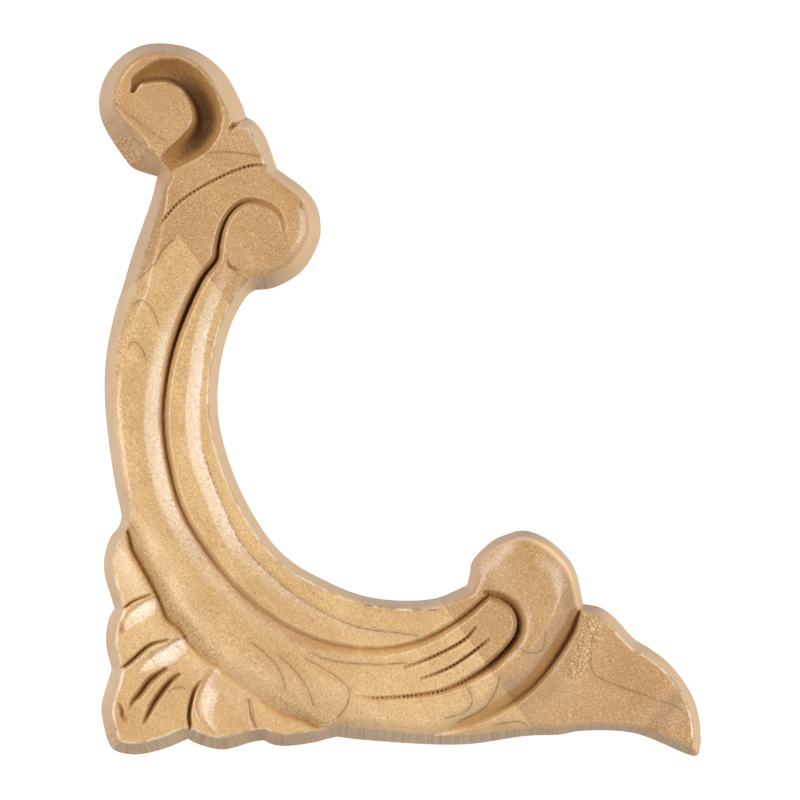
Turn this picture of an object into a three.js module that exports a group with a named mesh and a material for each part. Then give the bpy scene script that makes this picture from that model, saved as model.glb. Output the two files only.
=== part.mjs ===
// Carved wooden corner onlay: an L-shaped C-scroll with two volutes at its head, a round bulb and a
// tail leaf at its foot end and a small acanthus leaf over the corner. It is one carved piece.
//
// The onlay stands upright as it hangs: X to the right, Z up, its flat back on the plane y = 0 and
// the carved face towards -Y. The origin is on the back, behind the elbow of the arm.
// Plan places are [right, up] from the corner of the L, and plan widths are of the same unit, a
// thousandth of the onlay's height. Levels and depths of the carving are shares of its thickness.

import * as THREE from 'three';

// Overall sizes in millimetres, and the straight edge at the back of the rim
const height = 142.6;
const thickness = 15;
const backEdge = 1.2;

// Fineness of the facets in millimetres
const outlineStep = 1.0;
const creaseStep = 1.0;
const fieldStep = 2.1;
const smallestGap = 0.55;
const slopeGap = 0.88;
const fieldGap = 1.26;
const curveStep = 0.7;
const ridgeStep = 2;

const planUnit = height / 1000;
const originInPlan = [163, 203];
const woodColour = '#d0a676';
const woodRoughness = 0.45;

// Runs of the outline, anticlockwise from the notch by the upper volute; each ends where the next
// starts. edge gives, at even stations along the run, the width of the drafted wall, the width of
// the roll over its top and the wall's share of the height.
const outlineRuns = {
  upperVolute: {
    edge: [[21, 4, 0.95], [22, 4, 0.95], [15, 7, 0.92], [14, 8, 0.92], [16, 8, 0.92], [19, 10, 0.92],
      [21, 10, 0.9], [31, 11, 0.8], [22, 11, 0.8]],
    line: [[207, 894], [199, 916], [172, 961], [128, 991], [65, 996], [25, 973], [3, 935], [3, 893],
      [37, 835], [48, 823], [82, 811]],
  },
  outerArm: {
    edge: [[13, 6, 0.9], [14, 21, 0.76], [15, 25, 0.72], [13, 18, 0.86], [13, 15, 0.93], [13, 14, 0.93],
      [13, 10, 0.94]],
    line: [[82, 811], [73, 776], [48, 705], [33, 654], [24, 626], [12, 572], [8, 515], [13, 447],
      [24, 374], [30, 346], [32, 334]],
  },
  leafTopLobe: {
    edge: [[14, 4, 0.96]],
    line: [[32, 334], [28, 321], [15, 303], [7, 264], [22, 206]],
  },
  leafSideLobe: {
    edge: [[15, 4, 0.96]],
    line: [[22, 206], [14, 191], [10, 157], [18, 121]],
  },
  cornerLobe: {
    edge: [[17, 4, 0.96]],
    line: [[18, 121], [4, 72], [4, 58], [14, 17], [22, 7], [52, 1], [94, 10], [125, 23]],
  },
  leafFootLobe: {
    edge: [[18, 4, 0.96]],
    line: [[125, 23], [136, 17], [173, 8], [217, 19], [231, 21]],
  },
  leafEndLobe: {
    edge: [[18, 4, 0.96]],
    line: [[231, 21], [244, 15], [262, 13], [302, 18], [317, 22], [334, 26]],
  },
  underside: {
    edge: [[18, 14, 0.88], [16, 21, 0.85], [14, 17, 0.88], [10, 6, 0.93], [10, 6, 0.93], [13, 6, 0.92]],
    line: [[334, 26], [366, 22], [509, 15], [599, 27], [647, 29], [675, 34], [750, 31], [834, -1],
      [840, 1], [844, 20]],
  },
  tail: {
    edge: [[11, 4, 0.96]],
    line: [[844, 20], [842, 48], [835, 76], [819, 105], [799, 129], [778, 146], [753, 161]],
  },
  tailTop: {
    edge: [[11, 4, 0.96]],
    line: [[753, 161], [741, 173], [724, 192], [703, 207], [679, 212]],
  },
  bulb: {
    edge: [[6, 30, 0.86], [6, 40, 0.86], [6, 28, 0.91], [7, 14, 0.93]],
    line: [[679, 212], [668, 259], [654, 281], [627, 304], [596, 315], [570, 309], [551, 300], [523, 271],
      [520, 255], [516, 238]],
  },
  innerArm: {
    edge: [[9, 7, 0.94], [8, 4, 0.96], [8, 4, 0.96], [9, 4, 0.96], [10, 4, 0.96], [10, 4, 0.96],
      [11, 4, 0.95]],
    line: [[516, 238], [467, 219], [377, 222], [299, 254], [265, 276], [236, 307], [192, 386], [168, 471],
      [169, 538], [186, 605], [209, 645], [219, 652]],
  },
  lowerVolute: {
    edge: [[17, 8, 0.92], [14, 17, 0.9], [11, 21, 0.9], [11, 15, 0.92]],
    line: [[219, 652], [244, 655], [285, 679], [309, 722], [311, 743], [306, 769], [290, 792], [250, 822]],
  },
  collarLobe: {
    edge: [[13, 4, 0.96]],
    line: [[250, 822], [231, 872], [217, 889], [207, 894]],
  },
};

// Shape of the edge and the reach of a ridge, in plan units: how the roll turns over, how much of a
// groove is left on the wall, and where it is whole again
const rollPower = 1.6;
const grooveOnWall = 0.25;
const grooveFade = 0.3;
const crownReach = 30;

// Ridges that the uncut carving follows
const crownRidges = {
  upperVoluteDisc: { level: 0.82, line: [[72, 905]] },
  upperVoluteRim: { level: 0.82, line: [[30, 900], [45, 960], [100, 985], [160, 950], [182, 915]] },
  neck: { level: 0.86, line: [[180, 870], [140, 830], [100, 790]] },
  collarLobe: { level: 0.7, line: [[229, 849]] },
  lowerVoluteDisc: { level: 0.93, line: [[220, 734]] },
  lowerVoluteRim: { level: 0.86, line: [[190, 795], [250, 800], [292, 760], [290, 710], [250, 675]] },
  outerBand: { level: 0.93, line: [[130, 730], [93, 660], [70, 600], [52, 500], [60, 400], [80, 320],
    [150, 220], [230, 130], [330, 90], [450, 85], [520, 60]] },
  innerBand: { level: 0.86, line: [[185, 690], [150, 640], [115, 540], [112, 456], [135, 370], [180, 290],
    [240, 225], [320, 180], [400, 170], [480, 190], [530, 225]] },
  fingers: { level: 0.95, line: [[470, 130], [560, 180]] },
  bulb: { level: 1.009, line: [[597, 240], [620, 200], [600, 130]] },
  topLeafLobe: { level: 0.565, line: [[18, 290], [18, 235]] },
  sideLeafLobe: { level: 0.6, line: [[29, 161]] },
  tailRoot: { level: 0.64, line: [[700, 185], [680, 140], [640, 85], [570, 45]] },
  bulbFlank: { level: 0.94, line: [[640, 215], [625, 165], [570, 100], [520, 72]] },
  heartOfLeaf: { level: 0.71, line: [[60, 230], [86, 150], [150, 80], [230, 50]] },
  lowerLeafLobes: { level: 0.655, line: [[25, 90], [36, 25], [163, 30], [268, 25], [324, 36]] },
  tail: { level: 0.62, line: [[690, 140], [750, 100], [700, 60], [600, 50]] },
  tailTip: { level: 0.42, line: [[829, 21]] },
};

// Broad slopes, cut first. depth lists shares of the thickness along the line; right and left list
// the widths of its two flanks, in plan units, as seen when walking along it, and the flank's form.
const slopes = {
  outerBandSlope: {
    line: [[160, 688], [147, 665], [111, 581], [97, 519], [94, 456], [114, 358], [142, 304], [198, 233],
      [251, 190], [317, 160], [383, 151]],
    depth: [0, 0.05, 0.09, 0.095, 0.095, 0.09, 0.07, 0.05, 0.02],
    right: { widths: [20, 30, 32, 32, 30, 30], form: 'eased' },
    left: { widths: [8], form: 'eased' },
  },
  innerBandLedge: {
    line: [[186, 672], [178, 655], [163, 617], [152, 575], [146, 520], [143, 490], [147, 430], [168, 369],
      [202, 297], [223, 273], [271, 230], [324, 198], [367, 181], [417, 174], [447, 170]],
    depth: [0.03, 0.075, 0.085, 0.085, 0.085, 0.08, 0.06, 0.035, 0.02, 0.01],
    right: { widths: [16, 20, 21, 21, 18], form: 'straight' },
    left: { widths: [40], form: 'level' },
  },
  underLowerVolute: {
    line: [[190, 684], [196, 676], [206, 670], [218, 667], [232, 660]],
    depth: [0.02, 0.07, 0.1, 0.1, 0.08],
    right: { widths: [3], form: 'straight' },
    left: { widths: [14, 20, 24, 26], form: 'eased' },
  },
  topLobeFacet: {
    line: [[37, 184], [47, 200], [68, 216], [79, 221]],
    depth: [0.03, 0.062, 0.066, 0.055],
    right: { widths: [8, 18, 20, 17], form: 'straight' },
    left: { widths: [7], form: 'eased' },
  },
  sideLobeFacet: {
    line: [[60, 124], [75, 141], [97, 155], [115, 165]],
    depth: [0.02, 0.08, 0.09, 0.06],
    right: { widths: [8, 22, 26, 18], form: 'straight' },
    left: { widths: [2], form: 'straight' },
  },
  footLobeFacet: {
    line: [[164, 35], [147, 58], [143, 77], [149, 98], [165, 123]],
    depth: [0.01, 0.06, 0.085, 0.08, 0.03],
    right: { widths: [5, 16, 24, 22, 8], form: 'straight' },
    left: { widths: [9], form: 'eased' },
  },
  tailShoulder: {
    line: [[679, 212], [672, 199], [663, 174], [604, 94], [527, 49], [457, 28]],
    depth: [0.11, 0.13, 0.13, 0.12, 0.1, 0.07, 0.03],
    right: { widths: [34, 38, 36, 28, 18], form: 'straight' },
    left: { widths: [5], form: 'straight' },
  },
  bulbHollow: {
    line: [[564, 220], [579, 208], [586, 189], [581, 168], [543, 128], [491, 98]],
    depth: [0.02, 0.07, 0.08, 0.07, 0.04, 0],
    right: { widths: [2], form: 'straight' },
    left: { widths: [20, 24, 20], form: 'eased' },
  },
};

// Narrow cuts of the gouge and the parting tool, laid out as the slopes are
const cuts = {
  mainCrease: {
    line: [[261, 732], [257, 750], [247, 763], [217, 774], [199, 769], [185, 755], [176, 736], [171, 714],
      [168, 694], [147, 665], [111, 581], [97, 519], [94, 456], [114, 358], [142, 304], [198, 233],
      [251, 190], [317, 160], [383, 151], [450, 163], [506, 194], [544, 226]],
    depth: [0.04, 0.13, 0.18, 0.22, 0.17, 0.14, 0.13, 0.12, 0.11, 0.09, 0.09, 0.09, 0.11, 0.15, 0.18],
    right: { widths: [5, 7, 9, 10, 7, 6, 6, 8, 11, 12, 10, 8, 7], form: 'straight' },
    left: { widths: [5, 8, 10, 10, 7, 6, 6, 6, 7, 8, 7], form: 'round' },
  },
  voluteGroove: {
    line: [[51, 929], [58, 943], [76, 949], [99, 949], [118, 940], [134, 923], [145, 903], [147, 883],
      [138, 862], [121, 844], [104, 828], [88, 815]],
    depth: [0.12, 0.26, 0.34, 0.4, 0.44, 0.48, 0.5, 0.5, 0.44, 0.34, 0.2, 0.03],
    right: { widths: [4, 8, 10, 9, 8, 10, 13, 15, 17, 18, 18, 12], form: 'cove' },
    left: { widths: [5, 10, 21, 28, 28, 28, 27, 26, 23, 17, 11, 7], form: 'cove' },
  },
  collarLine: {
    line: [[72, 724], [79, 735], [94, 750], [116, 774], [170, 807], [219, 825], [250, 822]],
    depth: [0.06, 0.06, 0.07, 0.08, 0.08],
    right: { widths: [3], form: 'straight' },
    left: { widths: [3], form: 'straight' },
  },
  collarNotch: {
    line: [[211, 897], [203, 889], [192, 882], [184, 873]],
    depth: [0.6, 0.42, 0.18, 0.02],
    right: { widths: [4], form: 'straight' },
    left: { widths: [5], form: 'straight' },
  },
  fingerGroove: {
    line: [[544, 226], [564, 220], [579, 208], [586, 189], [581, 168], [543, 128], [491, 98], [460, 90],
      [390, 84], [363, 86]],
    depth: [0.16, 0.22, 0.26, 0.28, 0.24, 0.17, 0.13, 0.11, 0.1, 0.08, 0.02],
    right: { widths: [8, 9, 9, 6, 5, 4], form: 'round' },
    left: { widths: [9, 11, 11, 7, 5, 4], form: 'straight' },
  },
  upperFinger: {
    line: [[429, 126], [466, 140], [512, 165], [527, 181]],
    depth: [0.04, 0.09, 0.1, 0.11, 0.06],
    right: { widths: [3, 4], form: 'straight' },
    left: { widths: [3], form: 'straight' },
  },
  lowerFinger: {
    line: [[452, 110], [485, 123], [509, 137], [546, 165]],
    depth: [0.04, 0.1, 0.11, 0.12, 0.05],
    right: { widths: [3, 4], form: 'straight' },
    left: { widths: [3], form: 'straight' },
  },
  tailCrease: {
    line: [[679, 212], [672, 199], [663, 174], [604, 94], [527, 49], [457, 28]],
    depth: [0.14, 0.17, 0.17, 0.14, 0.11, 0.09, 0.08, 0.06, 0.02],
    right: { widths: [16, 20, 20, 16, 12], form: 'eased' },
    left: { widths: [6, 8, 8, 7, 6, 5], form: 'round' },
  },
  leafCrease: {
    line: [[32, 334], [42, 313], [48, 289], [59, 269], [84, 222], [97, 192], [112, 180], [130, 156],
      [149, 137], [167, 125], [237, 72], [262, 58], [290, 48], [334, 26]],
    depth: [0.14, 0.18, 0.2, 0.2, 0.16, 0.1, 0.07, 0.06, 0.08, 0.14, 0.12],
    right: { widths: [6, 9, 10, 10, 9, 7], form: 'round' },
    left: { widths: [14, 18, 22, 22, 18, 14], form: 'eased' },
  },
  topLobeGroove: {
    line: [[22, 206], [36, 208], [49, 217], [81, 229]],
    depth: [0.1, 0.12, 0.1, 0.07],
    right: { widths: [3], form: 'straight' },
    left: { widths: [4], form: 'round' },
  },
  sideLobeGroove: {
    line: [[18, 121], [35, 126], [73, 157], [97, 164]],
    depth: [0.1, 0.15, 0.18, 0.16, 0.07],
    right: { widths: [5, 6, 4], form: 'straight' },
    left: { widths: [4, 5, 3], form: 'round' },
  },
  upperVein: {
    line: [[46, 67], [49, 77], [59, 88], [73, 107], [95, 123]],
    depth: [0.03, 0.15, 0.18, 0.18, 0.1],
    right: { widths: [3, 6, 7, 5], form: 'straight' },
    left: { widths: [3, 6, 6, 4], form: 'straight' },
  },
  lowerVein: {
    line: [[63, 43], [80, 77], [105, 109], [114, 115]],
    depth: [0.02, 0.14, 0.18, 0.18, 0.08],
    right: { widths: [3, 6, 6, 4], form: 'straight' },
    left: { widths: [3, 6, 6, 4], form: 'straight' },
  },
  footLobeGroove: {
    line: [[125, 23], [129, 42], [128, 60], [136, 94], [143, 104]],
    depth: [0.12, 0.17, 0.2, 0.17, 0.06],
    right: { widths: [4], form: 'straight' },
    left: { widths: [4], form: 'straight' },
  },
  endLobeGroove: {
    line: [[231, 21], [222, 34], [215, 58], [212, 78]],
    depth: [0.06, 0.05, 0.05, 0.04],
    right: { widths: [5], form: 'straight' },
    left: { widths: [8], form: 'round' },
  },
};
// Shares of the flanks' widths where the points of the face stand, and how near to the outline a
// loop of points may come, as a share of its own distance
const cutShares = [1, 0.35];
const slopeShares = [0, 1, 0.5];
const loopShare = 0.97;

const shortestLine = 0.01;

const toMillimetres = ([x, z]) => new THREE.Vector3(
  (x - originInPlan[0]) * planUnit, (z - originInPlan[1]) * planUnit, 0);

// Evenly spaced points on the smooth line through the plan points
function spaced(planPoints, step) {
  const places = planPoints.map(toMillimetres);
  if (places.length === 1) places.push(places[0].clone().addScalar(shortestLine));
  const curve = new THREE.CatmullRomCurve3(places, false, 'centripetal');
  const count = Math.max(1, Math.round(curve.getLength() / step));
  return curve.getSpacedPoints(count).map((p) => new THREE.Vector2(p.x, p.y));
}

// A table's entries, each with its line's evenly spaced points
function linesOf(table, step) {
  return Object.values(table).map((entry) => ({ ...entry, points: spaced(entry.line, step) }));
}

// Value at a share of the way through an evenly spaced list
function listAt(values, share) {
  const place = share * (values.length - 1);
  const i = Math.min(Math.floor(place), values.length - 2);
  return values.length === 1 ? values[0] : THREE.MathUtils.lerp(values[i], values[i + 1], place - i);
}

// The ring of points around the onlay, made of its runs end to end
function ringAtStep(step) {
  return Object.values(outlineRuns).flatMap(({ line }) => spaced(line, step).slice(0, -1));
}

// Edge widths and shares at every point of a ring, averaged over five neighbours three times
function ringEdges(step) {
  let edges = Object.values(outlineRuns).flatMap(({ line, edge }) => {
    const count = spaced(line, step).length - 1;
    return Array.from({ length: count }, (_, i) =>
      [0, 1, 2].map((k) => listAt(edge.map((station) => station[k]), i / Math.max(1, count - 1))));
  });
  for (let turn = 0; turn < 3; turn += 1) {
    const before = edges;
    edges = before.map((_, i) => [0, 1, 2].map((k) => {
      const around = [-2, -1, 0, 1, 2].map((hop) => before[(i + hop + before.length) % before.length][k]);
      return around.reduce((sum, value) => sum + value, 0) / around.length;
    }));
  }
  return edges;
}

// Nearest place on a line: how far it is, its share of the length and the side (right is positive)
function nearest(line, p) {
  let distance = Infinity;
  let reach = 0;
  let side = 1;
  let walked = 0;
  for (let i = 0; i + 1 < line.length; i += 1) {
    const alongX = line[i + 1].x - line[i].x;
    const alongY = line[i + 1].y - line[i].y;
    const length = Math.hypot(alongX, alongY);
    const x = p.x - line[i].x;
    const y = p.y - line[i].y;
    const t = THREE.MathUtils.clamp((x * alongX + y * alongY) / (length * length), 0, 1);
    const away = Math.hypot(x - t * alongX, y - t * alongY);
    if (away < distance - 1e-9) {
      distance = away;
      reach = walked + t * length;
      side = Math.sign(x * alongY - y * alongX);
    }
    walked += length;
  }
  return { distance, share: reach / walked, side };
}

// How much of a cut's depth is left at a share t of the way up its flank: straight, round as a
// quarter circle over the top, cove as a gouge's hollow, eased to a flat top, level as a flat step
const flankForms = {
  straight: (t) => 1 - t,
  round: (t) => 1 - Math.sqrt(1 - (1 - t) ** 2),
  cove: (t) => (1 - t * t) ** 0.7,
  level: (t) => 1 - THREE.MathUtils.smoothstep(t, 0.8, 1),
  eased: (t) => 1.2 * (1 - t) ** 2 / (1.2 - t),
};

function isInside(ring, p) {
  let inside = false;
  for (let i = 0, j = ring.length - 1; i < ring.length; j = i, i += 1) {
    const crosses = (ring[i].y > p.y) !== (ring[j].y > p.y);
    const slope = (ring[j].x - ring[i].x) / (ring[j].y - ring[i].y);
    if (crosses && p.x < ring[i].x + (p.y - ring[i].y) * slope) inside = !inside;
  }
  return inside;
}

const closedRing = ringAtStep(curveStep);
closedRing.push(closedRing[0]);
const closedEdges = ringEdges(curveStep);
closedEdges.push(closedEdges[0]);
const slopeLines = linesOf(slopes, curveStep);
const cutLines = linesOf(cuts, curveStep);
const ridgeLines = linesOf(crownRidges, ridgeStep);

// Height of the uncut carving: the ridges' levels, weighted by a bell curve of the distance to each
function crownAt(p) {
  let weights = 0;
  let sum = 0;
  for (const { level, points } of ridgeLines) {
    const away = nearest(points, p).distance / (crownReach * planUnit);
    const weight = Math.exp(-away * away / 2) + 1e-6 / (1 + away * away);
    weights += weight;
    sum += weight * level * thickness;
  }
  return sum / weights;
}

// Depth taken out by a set of cuts: the deepest one counts
function cutDepthAt(lines, p) {
  let drop = 0;
  for (const cut of lines) {
    const place = nearest(cut.points, p);
    const flank = place.side > 0 ? cut.right : cut.left;
    const width = listAt(flank.widths, place.share) * planUnit;
    if (place.distance < width) {
      const depth = listAt(cut.depth, place.share) * thickness;
      drop = Math.max(drop, depth * flankForms[flank.form](place.distance / width));
    }
  }
  return drop;
}

// Wall width, roll width and wall share of the edge at a share of the way round the ring
const edgeAt = (share) => [0, 1, 2].map((k) => listAt(closedEdges.map((edge) => edge[k]), share));

// Height of the carved face above the back: the wall climbs to its share of the height, the roll
// turns over its top, and the grooves fade out down the wall
function faceAt(p) {
  const { distance: inset, share: around } = nearest(closedRing, p);
  const [wall, roll, share] = edgeAt(around).map((value, k) => (k < 2 ? value * planUnit : value));
  const uncut = crownAt(p) - cutDepthAt(slopeLines, p);
  const fade = THREE.MathUtils.smoothstep(inset, wall / 2, wall + grooveFade);
  const groove = cutDepthAt(cutLines, p) * (grooveOnWall + (1 - grooveOnWall) * fade);
  const up = THREE.MathUtils.clamp((inset - wall) / roll, 0, 1);
  const rise = inset < wall ? share * inset / wall : share + (1 - share) * (1 - (1 - up) ** rollPower);
  const body = backEdge + (uncut - backEdge) * rise;
  return Math.min(body, uncut - groove);
}

// Points of the face: on the outline, around the top of the wall, along the cuts, their flanks and
// the slopes, around the end of the roll, then a field
function facePoints(ring, edges) {
  const points = [...ring];
  const add = (p, gap) => {
    if (!isInside(ring, p) || nearest(closedRing, p).distance < outlineStep / 2) return;
    if (points.every((q) => q.distanceTo(p) >= gap)) points.push(p);
  };
  const beside = (line, i, distance) => {
    const before = line[Math.max(i - 1, 0)];
    const way = line[Math.min(i + 1, line.length - 1)].clone().sub(before).normalize();
    return line[i].clone().add(new THREE.Vector2(way.y, -way.x).multiplyScalar(distance));
  };
  const looped = [ring[ring.length - 1], ...ring, ring[0]];
  const addLoop = (insetOf, gap) => ring.forEach((_, i) => {
    const inset = insetOf(edges[i]) * planUnit;
    const p = beside(looped, i + 1, -inset);
    if (nearest(closedRing, p).distance > inset * loopShare) add(p, gap);
  });
  const addFlanks = (lines, reaches, gap) => reaches.forEach((reach) => {
    for (const { points: line, right, left } of lines) {
      line.forEach((p, i) => {
        const share = i / (line.length - 1);
        add(beside(line, i, reach * listAt(right.widths, share) * planUnit), gap);
        add(beside(line, i, -reach * listAt(left.widths, share) * planUnit), gap);
      });
    }
  });
  const creases = linesOf(cuts, creaseStep);
  addLoop(([wall]) => wall, smallestGap);
  creases.forEach(({ points: line }) => line.forEach((p) => add(p, smallestGap)));
  addFlanks(creases, cutShares, smallestGap);
  addFlanks(linesOf(slopes, 2 * creaseStep), slopeShares, slopeGap);
  addLoop(([wall, roll]) => wall + roll, slopeGap);
  addLoop(([wall, roll]) => wall + roll / 3, slopeGap);
  const box = new THREE.Box2().setFromPoints(ring);
  for (let row = 0, y = box.min.y; y < box.max.y; row += 1, y += fieldStep * Math.sqrt(3) / 2) {
    for (let x = box.min.x + (row % 2) * fieldStep / 2; x < box.max.x; x += fieldStep) {
      add(new THREE.Vector2(x, y), fieldGap);
    }
  }
  return points;
}

// Delaunay triangles of a set of points, each turning anticlockwise
function delaunay(points) {
  const far = 20 * height;
  const outer = [[-far, -far], [far, -far], [0, far]].map(([x, y]) => new THREE.Vector2(x, y));
  const all = [...points, ...outer];
  const circle = (a, b, c) => {
    const [p, q, r] = [all[a], all[b], all[c]];
    const twice = 2 * (p.x * (q.y - r.y) + q.x * (r.y - p.y) + r.x * (p.y - q.y));
    const [pp, qq, rr] = [p.lengthSq(), q.lengthSq(), r.lengthSq()];
    const x = (pp * (q.y - r.y) + qq * (r.y - p.y) + rr * (p.y - q.y)) / twice;
    const y = (pp * (r.x - q.x) + qq * (p.x - r.x) + rr * (q.x - p.x)) / twice;
    return { corners: [a, b, c], x, y, radiusSq: (p.x - x) ** 2 + (p.y - y) ** 2 };
  };
  const count = points.length;
  let triangles = [circle(count, count + 1, count + 2)];
  points.forEach((p, index) => {
    const rim = new Map();
    const kept = [];
    for (const triangle of triangles) {
      if ((p.x - triangle.x) ** 2 + (p.y - triangle.y) ** 2 >= triangle.radiusSq) {
        kept.push(triangle);
      } else {
        const [a, b, c] = triangle.corners;
        for (const [from, to] of [[a, b], [b, c], [c, a]]) {
          if (!rim.delete(`${to} ${from}`)) rim.set(`${from} ${to}`, [from, to]);
        }
      }
    }
    triangles = kept;
    for (const [from, to] of rim.values()) triangles.push(circle(from, to, index));
  });
  return triangles.map(({ corners }) => corners).filter((corners) => corners.every((i) => i < count));
}

// The onlay's solid: the carved face, the straight edge around it and the flat back
function onlayGeometry() {
  const ring = ringAtStep(outlineStep);
  const plan = facePoints(ring, ringEdges(outlineStep));
  const centre = ([a, b, c]) => plan[a].clone().add(plan[b]).add(plan[c]).divideScalar(3);
  const face = delaunay(plan).filter((corners) => isInside(ring, centre(corners)));
  const positions = [];
  plan.forEach((p, i) => positions.push(p.x, i < ring.length ? -backEdge : -faceAt(p), p.y));
  const backStart = plan.length;
  ring.forEach((p) => positions.push(p.x, 0, p.y));
  const indices = face.flat();
  for (let i = 0; i < ring.length; i += 1) {
    const next = (i + 1) % ring.length;
    indices.push(i, backStart + i, backStart + next, i, backStart + next, next);
  }
  for (const [a, b, c] of THREE.ShapeUtils.triangulateShape(ring, [])) {
    indices.push(backStart + a, backStart + c, backStart + b);
  }
  const geometry = new THREE.BufferGeometry();
  geometry.setAttribute('position', new THREE.Float32BufferAttribute(positions, 3));
  geometry.setIndex(indices);
  return geometry;
}

const wood = new THREE.MeshStandardMaterial({ color: woodColour, roughness: woodRoughness, metalness: 0 });
const onlay = new THREE.Mesh(onlayGeometry(), wood);
onlay.name = 'corner_onlay';

const part = new THREE.Group();
part.name = 'wooden_corner_onlay';
part.add(onlay);

export default part;
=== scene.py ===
import bpy
import numpy as np
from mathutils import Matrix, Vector


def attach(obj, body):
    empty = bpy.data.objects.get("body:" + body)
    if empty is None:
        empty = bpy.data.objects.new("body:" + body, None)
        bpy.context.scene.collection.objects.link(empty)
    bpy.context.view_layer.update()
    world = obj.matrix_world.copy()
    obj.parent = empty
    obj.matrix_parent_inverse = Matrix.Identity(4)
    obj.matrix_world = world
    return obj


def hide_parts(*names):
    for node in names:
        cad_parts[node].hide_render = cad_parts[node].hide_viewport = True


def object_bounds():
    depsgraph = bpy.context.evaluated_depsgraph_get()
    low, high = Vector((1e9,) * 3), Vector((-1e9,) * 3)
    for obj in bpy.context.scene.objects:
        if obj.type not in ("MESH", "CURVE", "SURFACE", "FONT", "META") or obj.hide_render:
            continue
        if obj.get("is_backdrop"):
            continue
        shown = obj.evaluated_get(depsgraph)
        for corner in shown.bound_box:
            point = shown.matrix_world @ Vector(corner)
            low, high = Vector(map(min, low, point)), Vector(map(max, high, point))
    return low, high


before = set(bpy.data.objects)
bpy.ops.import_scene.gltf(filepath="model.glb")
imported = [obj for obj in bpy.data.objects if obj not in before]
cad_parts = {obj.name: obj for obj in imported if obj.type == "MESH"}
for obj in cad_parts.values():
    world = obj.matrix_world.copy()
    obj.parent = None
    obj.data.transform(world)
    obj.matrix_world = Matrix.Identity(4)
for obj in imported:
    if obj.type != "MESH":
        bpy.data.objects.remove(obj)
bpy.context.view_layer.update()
print("frame loaded")

mm = 0.001

onlay = {
    "height": 142.6 * mm,
    "thickness": 15 * mm,
    "backEdge": 1.2 * mm,
    "originInPlan": (163, 203),
    "fineStep": 0.18 * mm,  # grid in the grooves and at the outline; twice this elsewhere
    "curveStep": 0.5 * mm,
    "edgeReach": 8 * mm,
    "crownReach": 30,
    "rollPower": 1.6,
    "grooveOnWall": 0.25,
    "deepestCut": 0.3,
    "ridgeSoftening": 0.9 * mm,
    "beadPitch": 0.85 * mm,
    "beadReach": 0.55 * mm,
    "beadDepth": 0.1,  # cuts deeper than this share of the thickness lose their beads
    "arrisWidth": 0.2 * mm,
    "fineBesideCuts": 0.84 * mm,
}

# runs of the outline, anticlockwise from the notch by the upper volute; each ends where the next
# starts. First its edge at even stations along the run: width of the drafted wall and of the roll
# above it in plan units, and the wall's share of the height.
outlineRuns = {
    "upperVolute": ([(21, 4, 0.95), (22, 4, 0.95), (15, 7, 0.92), (14, 8, 0.92), (16, 8, 0.92),
                     (19, 10, 0.92), (21, 10, 0.9), (31, 11, 0.8), (22, 11, 0.8)],
                    [[207, 894], [199, 916], [172, 961], [128, 991], [65, 996], [25, 973], [3, 935], [3, 893],
                     [37, 835], [48, 823], [82, 811]]),
    "outerArm": ([(13, 6, 0.9), (14, 21, 0.76), (15, 25, 0.72), (13, 18, 0.86), (13, 15, 0.93),
                  (13, 14, 0.93), (13, 10, 0.94)],
                 [[82, 811], [73, 776], [48, 705], [33, 654], [24, 626], [12, 572], [8, 515], [13, 447],
                  [24, 374], [30, 346], [32, 334]]),
    "leafTopLobe": ([(14, 4, 0.96)], [[32, 334], [28, 321], [15, 303], [7, 264], [22, 206]]),
    "leafSideLobe": ([(15, 4, 0.96)], [[22, 206], [14, 191], [10, 157], [18, 121]]),
    "cornerLobe": ([(17, 4, 0.96)], [[18, 121], [4, 72], [4, 58], [14, 17], [22, 7], [52, 1], [94, 10],
                                       [125, 23]]),
    "leafFootLobe": ([(18, 4, 0.96)], [[125, 23], [136, 17], [173, 8], [217, 19], [231, 21]]),
    "leafEndLobe": ([(18, 4, 0.96)], [[231, 21], [244, 15], [262, 13], [302, 18], [317, 22], [334, 26]]),
    "underside": ([(18, 14, 0.88), (16, 21, 0.85), (14, 17, 0.88), (10, 6, 0.93), (10, 6, 0.93),
                   (13, 6, 0.92)],
                  [[334, 26], [366, 22], [509, 15], [599, 27], [647, 29], [675, 34], [750, 31], [834, -1],
                   [840, 1], [844, 20]]),
    "tail": ([(11, 4, 0.96)], [[844, 20], [842, 48], [835, 76], [819, 105], [799, 129], [778, 146],
                                  [753, 161]]),
    "tailTop": ([(11, 4, 0.96)], [[753, 161], [741, 173], [724, 192], [703, 207], [679, 212]]),
    "bulb": ([(6, 30, 0.86), (6, 40, 0.86), (6, 28, 0.91), (7, 14, 0.93)],
             [[679, 212], [668, 259], [654, 281], [627, 304], [596, 315], [570, 309], [551, 300], [523, 271],
              [520, 255], [516, 238]]),
    "innerArm": ([(9, 7, 0.94), (8, 4, 0.96), (8, 4, 0.96), (9, 4, 0.96), (10, 4, 0.96),
                  (10, 4, 0.96), (11, 4, 0.95)],
                 [[516, 238], [467, 219], [377, 222], [299, 254], [265, 276], [236, 307], [192, 386],
                  [168, 471], [169, 538], [186, 605], [209, 645], [219, 652]]),
    "lowerVolute": ([(17, 8, 0.92), (14, 17, 0.9), (11, 21, 0.9), (11, 15, 0.92)],
                    [[219, 652], [244, 655], [285, 679], [309, 722], [311, 743], [306, 769], [290, 792],
                     [250, 822]]),
    "collarLobe": ([(13, 4, 0.96)], [[250, 822], [231, 872], [217, 889], [207, 894]]),
}

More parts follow.
